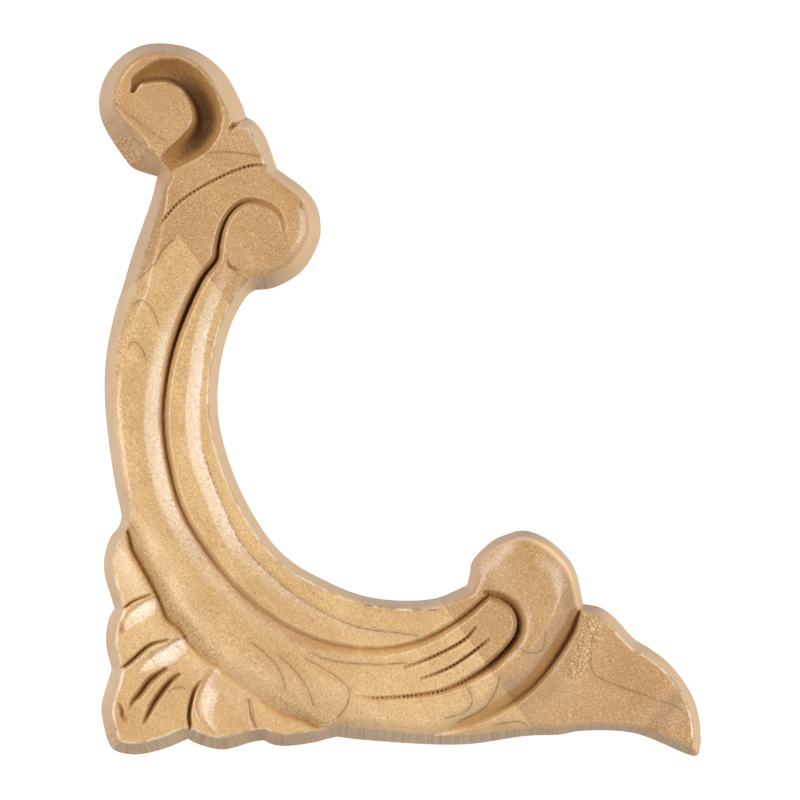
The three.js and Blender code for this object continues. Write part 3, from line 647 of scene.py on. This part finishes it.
# The carved solid on the grid. Cells of two steps are kept whole where the face is plain; near the
# cuts and the outline they are four cells each, and cells on the outline are cut where the signed
# distance passes nought. A straight edge runs all round, and the back is one flat face.
def onlayMesh():
    fine = (near < onlay["fineBesideCuts"]) | (gap < 3 * step) | (paintedArrisHighlight > 0.5)
    coarse = np.ones(((shape[0] - 1) // 2, (shape[1] - 1) // 2), bool)
    for i in range(3):
        for j in range(3):
            coarse &= ~fine[i:i + shape[0] - 2:2, j:j + shape[1] - 2:2]
    wide = np.pad(coarse, 1)
    index = np.full(shape, -1)
    x, z = np.meshgrid(xs, zs, indexing="ij")

    # whole cells: corners and middles of the sides; a middle counts where the next cell is fine
    def takeFrom(i, j):
        ids = np.arange(shape[0] * shape[1]).reshape(shape)
        return ids[i:i + shape[0] - 2:2, j:j + shape[1] - 2:2][coarse]
    middle = [wide[1:-1, :-2][coarse], wide[2:, 1:-1][coarse]]
    middle += [wide[1:-1, 2:][coarse], wide[:-2, 1:-1][coarse]]
    side = [takeFrom(1, 0), takeFrom(2, 1), takeFrom(1, 2), takeFrom(0, 1)]
    corner = [takeFrom(0, 0), takeFrom(2, 0), takeFrom(2, 2), takeFrom(0, 2)]
    whole = np.stack([v for c, m, s in zip(corner, middle, side) for v in (c, np.where(m, -1, s))], -1)

    # small cells: corners inside, and crossings of the outline on grid edges along x, then along z
    small = np.repeat(np.repeat(~coarse, 2, 0), 2, 1)
    places, count, crossing = [], shape[0] * shape[1], []
    for axis in (0, 1):
        a = tuple(slice(0, -1) if i == axis else slice(None) for i in (0, 1))
        b = tuple(slice(1, None) if i == axis else slice(None) for i in (0, 1))
        cut = inside[a] != inside[b]
        share = gap[a][cut] / (gap[a][cut] - gap[b][cut])
        places.append(np.stack([v[a][cut] + (v[b] - v[a])[cut] * share for v in (x, z)], 1))
        ids = np.full(cut.shape, -1)
        ids[cut] = count + np.arange(cut.sum())
        count += cut.sum()
        crossing.append(ids)
    index[inside] = np.flatnonzero(inside)
    c = [index[:-1, :-1], index[1:, :-1], index[1:, 1:], index[:-1, 1:]]
    e = [crossing[0][:, :-1], crossing[1][1:, :], crossing[0][:, 1:], crossing[1][:-1, :]]
    around = np.stack([v[small] for pair in zip(c, e) for v in pair], -1)
    onEdge = (around[:, 1::2] >= 0).sum(1) == 2
    nearEdge = around[onEdge]

    # faces: each cell's polygon takes the places that it has, cells of one pattern at a time
    faces = []
    for cells in (whole, around):
        pattern = ((cells >= 0) * 2 ** np.arange(8)).sum(1)
        for kind in np.unique(pattern):
            used = np.flatnonzero(kind & 2 ** np.arange(8))
            if len(used) > 2:
                faces.append(cells[pattern == kind][:, used])

    # the outline's own edges: in each cut cell the step from one crossing to the other, outside empty
    edges = []
    for row in (1, 3, 5, 7):
        for hop in (2, 4, 6):
            other = (row + hop) % 8
            between = [(row + k) % 8 for k in range(1, hop)]
            mine = (nearEdge[:, row] >= 0) & (nearEdge[:, other] >= 0) & (nearEdge[:, between] < 0).all(1)
            edges.append(nearEdge[mine][:, [row, other]])
    edges = np.vstack(edges)

    # straight edge and back: the same boundary again on the plane of the back. The steps left to the
    # last place of the rim, doubled up from each place's next one, give the back's order.
    plane = np.vstack([np.stack([x.ravel(), z.ravel()], 1)] + places)
    face = np.r_[height.ravel(), np.full(len(plane) - shape[0] * shape[1], onlay["backEdge"])]
    rimIds = np.unique(edges)
    below = np.full(count, -1)
    below[rimIds] = count + np.arange(len(rimIds))
    faces.append(np.stack([edges[:, 1], edges[:, 0], below[edges[:, 0]], below[edges[:, 1]]], 1))
    follow = np.empty(len(rimIds), int)
    follow[np.searchsorted(rimIds, edges[:, 0])] = np.searchsorted(rimIds, edges[:, 1])
    last = follow == 0
    follow[last] = np.flatnonzero(last)
    left = 1 - last.astype(int)
    for doubling in range(int(np.ceil(np.log2(len(rimIds))))):
        left = left + left[follow]
        follow = follow[follow]
    faces.append(below[rimIds[np.argsort(left)]][None])
    plane = np.vstack([plane, plane[rimIds]])
    face = np.r_[face, np.zeros(len(rimIds))]
    verts = np.stack([plane[:, 0], -face, plane[:, 1]], 1)
    kept = np.unique(np.concatenate([f.ravel() for f in faces]))
    renumber = np.full(len(verts), -1)
    renumber[kept] = np.arange(len(kept))
    nodeAt = tuple(np.clip(np.round((plane[kept, i] - (xs[0], zs[0])[i]) / step).astype(int), 0, shape[i] - 1)
                   for i in (0, 1))
    values = {name: field[nodeAt] for name, field in finish.items()}
    face = face[kept]
    values["wall"] = np.where(face <= onlay["backEdge"], 1, values["wall"])
    values["growthLine"] = np.where(face > 0, values["growthLine"], 2)
    for name in ("hollow", "paintedArrisHighlight", "torn", "stainsAndShade", "paintedHighlight"):
        values[name] = np.where(face > 0, values[name], 0)
    return verts[kept], [renumber[f] for f in faces], values


# A mesh object from numpy vertices and a list of arrays of faces, each array of one face size. The
# last few faces may be flat, which keeps their edges sharp.
def addPiece(name, verts, faceArrays, material, flatFaces=0):
    sizes = np.concatenate([np.full(len(f), f.shape[1]) for f in faceArrays])
    mesh = bpy.data.meshes.new(name)
    mesh.vertices.add(len(verts))
    mesh.vertices.foreach_set("co", verts.astype(np.float32).ravel())
    mesh.loops.add(int(sizes.sum()))
    mesh.loops.foreach_set("vertex_index", np.concatenate([f.ravel() for f in faceArrays]).astype(np.int32))
    mesh.polygons.add(len(sizes))
    mesh.polygons.foreach_set("loop_start", np.r_[0, np.cumsum(sizes)[:-1]].astype(np.int32))
    mesh.polygons.foreach_set("use_smooth", np.arange(len(sizes)) < len(sizes) - flatFaces)
    mesh.update(calc_edges=True)
    mesh.validate()
    mesh.materials.append(material)
    piece = bpy.data.objects.new(name, mesh)
    bpy.context.collection.objects.link(piece)
    return piece


def plainMaterial(name, colour, roughness):
    material = bpy.data.materials.new(name)
    material.use_nodes = True
    shader = material.node_tree.nodes["Principled BSDF"]
    shader.inputs["Base Color"].default_value = (*colour, 1)
    shader.inputs["Roughness"].default_value = roughness
    return material


woodLook = {
    "golden": (0.71, 0.455, 0.195),
    "brown": (0.5, 0.275, 0.1),
    "grainTurn": -54.4,  # degrees about y from the x axis to the grain
    "glueLine": 37.9 * mm,  # across the grain, from the origin
    "boardEndPlace": (-7.84 * mm, 73.85 * mm),
    "boardEndTurn": 46.4,
    "roughness": 0.3,
    "coat": 0.5,
    "coatRoughness": 0.2,
    "bumpStrength": 0.35,
    "bumpDistance": 0.12 * mm,
    "cloudTint": (0.83, 0.78, 0.7),
    # walls: grey of sawn end grain, and paler by painted light bounced from the white backdrop; the next colour
    # paints more light on walls facing right
    "wallGreyAndBackdropLight": (0.8, 0.59, 0.43),
    "rightWallLitColour": (1, 0.68, 0.39),
    # orange-brown of the stains, also laid as painted shade
    "stainAndShade": (0.46, 0.2, 0.05),
    "fleckShallow": (0.95, 0.72, 0.42),
    "fleckDeep": (0.66, 0.42, 0.14),
    # strength and colour of each tint laid over the board; polish and arris are painted highlights,
    # hollow is stain and painted shade, deepest is painted shade
    "tints": {
        "streak": (0.3, (0.4, 0.2, 0.08)),
        "darkPore": (0.75, (0.3, 0.15, 0.055)),
        "palePore": (0.5, (0.88, 0.65, 0.37)),
        "mottle": (0.22, (0.46, 0.26, 0.1)),
        "halo": (0.22, (0.42, 0.22, 0.07)),
        "growthLine": (0.8, (0.23, 0.105, 0.03)),
        "paintedHighlight": (0.8, (0.9, 0.74, 0.62)),
        "hollow": (0.66, (0.45, 0.215, 0.05)),
        "deepestShade": (0.9, (0.13, 0.055, 0.014)),
        "paintedArrisHighlight": (0.65, (1, 0.85, 0.62)),
        "tornDark": (0.7, (0.3, 0.16, 0.06)),
    },
    # dark saw marks, mostly on walls facing down, where they also paint shade
    "sawMarkAndShade": (0.2, 0.14, 0.09),
    "sawStrength": 0.5,
    "wallStrength": 0.85,
    "fleckStrength": 0.5,
}


# A small helper for node trees: new node with its inputs set or linked. Inputs are given by name or
# number; a link is an output socket.
def addNode(tree, kind, inputs=None, **settings):
    node = tree.nodes.new(kind)
    for name, value in settings.items():
        setattr(node, name, value)
    for key, value in (inputs or {}).items():
        if isinstance(value, bpy.types.NodeSocket):
            tree.links.new(value, node.inputs[key])
        else:
            node.inputs[key].default_value = value
    return node


def mathNode(tree, operation, *values, clamp=False):
    node = addNode(tree, "ShaderNodeMath", dict(enumerate(values)), operation=operation, use_clamp=clamp)
    return node.outputs[0]


# colour between two colours by a share, mixed or in one of the node's other ways of blending
def mixColour(tree, share, first, second, blend="MIX"):
    node = addNode(tree, "ShaderNodeMix", {0: share, 6: first, 7: second}, data_type="RGBA", blend_type=blend)
    return node.outputs[2]


# share from 0 to 1 as a value goes from one number to another
def spread(tree, value, start, end):
    node = addNode(tree, "ShaderNodeMapRange", {0: value, 1: start, 2: end}, interpolation_type="SMOOTHSTEP")
    return node.outputs[0]


# Limewood-like board with a satin polish: two boards of different brown, streaks and pores along the
# grain, growth lines, hollows darker by stain and painted shade, arrises and polished facets paler by a
# painted highlight, grey sawn walls with painted light and shade, and torn slopes against the grain
def woodMaterial(look):
    material = bpy.data.materials.new("carvedWood")
    material.use_nodes = True
    tree = material.node_tree
    shader = tree.nodes["Principled BSDF"]
    place = addNode(tree, "ShaderNodeTexCoord").outputs["Object"]

    def attribute(name):
        return addNode(tree, "ShaderNodeAttribute", attribute_name=name).outputs["Fac"]

    # colour moved by a share towards one of the look's tints
    def tint(share, colour, name):
        strength, target = look["tints"][name]
        return mixColour(tree, mathNode(tree, "MULTIPLY", share, strength), colour, (*target, 1))

    growthLine, hollow, paintedArrisHighlight, wall, torn = (
        attribute(n) for n in ("growthLine", "hollow", "paintedArrisHighlight", "wall", "torn"))
    walk, rightWallLit, sawnAndShadedBelow, stainsAndShade, paintedHighlight = (
        attribute(n) for n in ("walk", "rightWallLit", "sawnAndShadedBelow", "stainsAndShade", "paintedHighlight"))
    height = addNode(tree, "ShaderNodeSeparateXYZ", {0: place}).outputs[1]
    onFace = mathNode(tree, "SUBTRACT", 1, spread(tree, height, -0.03 * mm, -0.01 * mm))

    turned = addNode(tree, "ShaderNodeMapping", {
        0: place, 2: (0, np.radians(look["grainTurn"]), 0)}).outputs[0]
    parts = addNode(tree, "ShaderNodeSeparateXYZ", {0: turned}).outputs
    endTurn = addNode(tree, "ShaderNodeMapping", {
        0: place, 1: (0, 0, 0), 2: (0, np.radians(look["boardEndTurn"]), 0)}).outputs[0]
    endParts = addNode(tree, "ShaderNodeSeparateXYZ", {0: endTurn}).outputs
    a = np.radians(look["boardEndTurn"])
    endLevel = -look["boardEndPlace"][0] * np.sin(a) + look["boardEndPlace"][1] * np.cos(a)

    def noise(vector, scale, detail=2, roughness=0.5, distortion=0.0):
        return addNode(tree, "ShaderNodeTexNoise", {
            "Vector": vector, "Scale": scale, "Detail": detail, "Roughness": roughness,
            "Distortion": distortion}).outputs[0]

    def stretched(scale):
        return addNode(tree, "ShaderNodeMapping", {0: turned, 3: scale}).outputs[0]

    # boards
    upper = spread(tree, parts[2], look["glueLine"] - 0.1 * mm, look["glueLine"] + 0.1 * mm)
    beyondEnd = spread(tree, endParts[2], endLevel - 0.1 * mm, endLevel + 0.1 * mm)
    brown = mathNode(tree, "MAXIMUM", upper, beyondEnd)
    cloud = noise(stretched((0.45, 1, 1)), 75, 3, 0.5, 0.8)
    base = mixColour(tree, brown, (*look["golden"], 1), (*look["brown"], 1))
    base = mixColour(tree, spread(tree, cloud, 0.35, 0.65), base, (*look["cloudTint"], 1), "MULTIPLY")

    # streaks along the grain, and short dark and pale flecks
    streak = noise(stretched((0.08, 1, 1)), 1100, 3, 0.6)
    base = tint(spread(tree, streak, 0.5, 0.75), base, "streak")
    pores = noise(stretched((0.5, 1, 1)), 4800, 3, 0.75)
    base = tint(spread(tree, pores, 0.5, 0.66), base, "darkPore")
    pale = mathNode(tree, "SUBTRACT", 1, spread(tree, pores, 0.36, 0.49))
    base = tint(pale, base, "palePore")

    mottle = noise(stretched((0.35, 1, 1)), 520, 3, 0.6)
    base = tint(spread(tree, mottle, 0.35, 0.7), base, "mottle")

    # growth lines, a little uneven
    wander = mathNode(tree, "MULTIPLY", mathNode(tree, "SUBTRACT", noise(place, 700, 2), 0.5), 0.25)
    line = mathNode(tree, "SUBTRACT", 1, spread(tree, mathNode(tree, "ADD", growthLine, wander), 0.04, 0.34))
    halo = mathNode(tree, "SUBTRACT", 1, spread(tree, growthLine, 0.2, 1.7))
    base = tint(line, tint(halo, base, "halo"), "growthLine")

    # painted highlight on the polished facets, paler
    patches = spread(tree, noise(stretched((0.7, 1, 1)), 1700, 4, 0.75), 0.36, 0.6)
    paintedHighlightShare = mathNode(tree, "MULTIPLY", paintedHighlight, patches)
    base = tint(paintedHighlightShare, base, "paintedHighlight")

    # walls: greyer and paler, sawn end grain with painted light from the backdrop; saw marks
    # mostly on walls facing down, painted shade there; walls facing right paler, painted light
    grey = mixColour(tree, 0.5, base, (*look["wallGreyAndBackdropLight"], 1))
    across = addNode(tree, "ShaderNodeCombineXYZ", {0: walk}).outputs[0]
    saw = mathNode(tree, "MULTIPLY", spread(tree, noise(across, 1.1, 4, 0.8, 0.6), 0.42, 0.66),
                   look["sawStrength"])
    grey = mixColour(tree, mathNode(tree, "MULTIPLY", saw, sawnAndShadedBelow), grey, (*look["sawMarkAndShade"], 1))
    grey = mixColour(tree, rightWallLit, grey, (*look["rightWallLitColour"], 1))
    grey = mixColour(tree, onFace, base, grey)
    base = mixColour(tree, mathNode(tree, "MULTIPLY", wall, look["wallStrength"]), base, grey)

    # stains, and painted shade at the leaf's foot and the finger's head
    spots = mathNode(tree, "MULTIPLY", stainsAndShade, spread(tree, noise(place, 1500, 3), 0.15, 0.6))
    base = mixColour(tree, spots, base, (*look["stainAndShade"], 1))

    # hollows darker by stain and painted shade, the deepest nearly black by painted shade; arrises
    # paler by a painted highlight, broken into patches
    ragged = mathNode(tree, "MULTIPLY", mathNode(tree, "SUBTRACT", noise(place, 2200, 3, 0.7), 0.5), 1.2)
    hollow = mathNode(tree, "ADD", hollow, mathNode(tree, "MULTIPLY", ragged, spread(tree, hollow, 0.1, 0.5)))
    hollowStainShade = spread(tree, hollow, 0.1, 1.5)
    base = tint(hollowStainShade, base, "hollow")
    base = tint(spread(tree, hollow, 1.6, 3.3), base, "deepestShade")
    highlightBreakup = spread(tree, noise(place, 420, 3), 0.36, 0.62)
    paintedGlint = mathNode(tree, "MULTIPLY", spread(tree, paintedArrisHighlight, 0.15, 1.5), highlightBreakup)
    base = tint(paintedGlint, base, "paintedArrisHighlight")

    # torn slopes: pale and dark fibres
    tear = noise(stretched((0.6, 1, 1)), 3000, 3, 0.7)
    tearDark = mathNode(tree, "MULTIPLY", spread(tree, tear, 0.49, 0.6), torn)
    tearPale = mathNode(tree, "MULTIPLY", mathNode(tree, "SUBTRACT", 1, spread(tree, tear, 0.39, 0.5)), torn)
    base = tint(tearDark, base, "tornDark")
    # pale flecks darker in the hollows, with the painted shade
    fleck = mixColour(tree, hollowStainShade, (*look["fleckShallow"], 1), (*look["fleckDeep"], 1))
    base = mixColour(tree, mathNode(tree, "MULTIPLY", tearPale, look["fleckStrength"]), base, fleck)
    tree.links.new(base, shader.inputs["Base Color"])

    # gloss: smooth on the face, dull on walls and torn slopes
    dull = mathNode(tree, "MAXIMUM", wall, spread(tree, torn, 0, 0.6))
    dull = mathNode(tree, "MAXIMUM", dull, spread(tree, hollow, 0.3, 1))
    rough = mathNode(tree, "ADD", look["roughness"], mathNode(tree, "MULTIPLY", dull, 0.3))
    clouded = mathNode(tree, "MULTIPLY", mathNode(tree, "SUBTRACT", cloud, 0.5), 0.1)
    rough = mathNode(tree, "ADD", rough, clouded)
    rough = mathNode(tree, "ADD", rough, mathNode(tree, "MULTIPLY", spread(tree, pores, 0.45, 0.65), 0.2))
    tree.links.new(rough, shader.inputs["Roughness"])
    shader.inputs["Coat Roughness"].default_value = look["coatRoughness"]
    coat = mathNode(tree, "MULTIPLY", mathNode(tree, "SUBTRACT", 1, dull, clamp=True), look["coat"])
    tree.links.new(coat, shader.inputs["Coat Weight"])

    # fine unevenness
    fibres = mathNode(tree, "MULTIPLY", tear, torn)
    fuzz = mathNode(tree, "ADD", mathNode(tree, "MULTIPLY", pores, 0.8), fibres)
    waves = mathNode(tree, "MULTIPLY", noise(place, 350, 2), 1.5)
    lift = mathNode(tree, "ADD", fuzz, waves)
    bump = addNode(tree, "ShaderNodeBump", {
        "Strength": look["bumpStrength"], "Distance": look["bumpDistance"], "Height": lift})
    tree.links.new(bump.outputs[0], shader.inputs["Normal"])
    return material


verts, faceArrays, values = onlayMesh()
wood = woodMaterial(woodLook)
carving = addPiece("carvedOnlay", verts, faceArrays, wood, flatFaces=1)
for name, value in values.items():
    carving.data.attributes.new(name, "FLOAT", "POINT").data.foreach_set("value", value.astype(np.float32))
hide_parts("corner_onlay")
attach(carving, "root")
triangles = sum(len(f) * (f.shape[1] - 2) for f in faceArrays)
print("carving:", len(verts), "vertices,", triangles, "triangles")

# stage, camera and lights
studio = {
    "photoPixel": 0.2 * mm,
    "photoCentre": (400, 400),
    "planCornerInPhoto": (99, 755),
    "cameraDistance": 1.6,
    "floorBelow": 0.30,
    "backdropBehind": 2.6,
    "softboxes": {
        "Left": ((-0.75, -0.8, 0.1), (0.42, 0.8), 6.1),
        "Right": ((0.75, -0.8, 0.0), (0.42, 0.8), 6.6),
        "High": ((-0.5, -0.85, 0.6), (0.42, 0.36), 3.2),
    },
    "paperGlow": 0.7,
    "fill": 0.35,
}
centreX = (studio["photoCentre"][0] - studio["planCornerInPhoto"][0]) * studio["photoPixel"]
centreZ = (studio["planCornerInPhoto"][1] - studio["photoCentre"][1]) * studio["photoPixel"]
centreX -= onlay["originInPlan"][0] * planUnit
centreZ -= onlay["originInPlan"][1] * planUnit

cameraData = bpy.data.cameras.new("camera")
camera = bpy.data.objects.new("camera", cameraData)
bpy.context.collection.objects.link(camera)
camera.location = (centreX, -studio["cameraDistance"], centreZ)
camera.rotation_euler = (np.pi / 2, 0, 0)
frameWidth = 800 * studio["photoPixel"]
cameraData.lens = cameraData.sensor_width * studio["cameraDistance"] / frameWidth
bpy.context.scene.camera = camera


# floor and backdrop as one sheet: a straight floor, a quarter-round cove and an upright wall
def sweepMesh():
    radius, wide, hollowStainShade, tall = 0.6, 5.0, 3.0, 4.0
    turn = np.linspace(0, np.pi / 2, 24)
    y = np.r_[-hollowStainShade, studio["backdropBehind"] - radius + radius * np.sin(turn), studio["backdropBehind"]]
    z = np.r_[0, radius - radius * np.cos(turn), tall] - studio["floorBelow"] + centreZ
    n = len(y)
    verts = np.concatenate([np.stack([np.full(n, side * wide), y, z], 1) for side in (-1, 1)])
    i = np.arange(n - 1)
    return verts, [np.stack([i, i + n, i + n + 1, i + 1], 1)]


paper = plainMaterial("studioPaper", (0.9, 0.9, 0.9), 0.9)
paperShader = paper.node_tree.nodes["Principled BSDF"]
paperShader.inputs["Emission Color"].default_value = (1, 1, 1, 1)
paperShader.inputs["Emission Strength"].default_value = studio["paperGlow"]
sweep = addPiece("studioSweep", *sweepMesh(), paper)
sweep.visible_diffuse = False  # so the bright backdrop doesn't light the onlay's walls
sweep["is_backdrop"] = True


def addSoftbox(name, place, target, size, power):
    light = bpy.data.lights.new(name, "AREA")
    light.shape = "RECTANGLE"
    light.size, light.size_y = size
    light.energy = power
    lamp = bpy.data.objects.new(name, light)
    bpy.context.collection.objects.link(lamp)
    lamp.location = place
    lamp.rotation_euler = Vector(np.subtract(target, place)).to_track_quat("-Z", "Y").to_euler()


for name, (place, size, power) in studio["softboxes"].items():
    addSoftbox("softbox" + name, np.add(place, (centreX, 0, centreZ)), (centreX, 0, centreZ), size, power)

world = bpy.data.worlds.new("studio")
world.use_nodes = True
world.node_tree.nodes["Background"].inputs["Color"].default_value = (1, 1, 1, 1)
world.node_tree.nodes["Background"].inputs["Strength"].default_value = studio["fill"]
bpy.context.scene.world = world
bpy.context.scene.view_settings.view_transform = "Standard"

low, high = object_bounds()
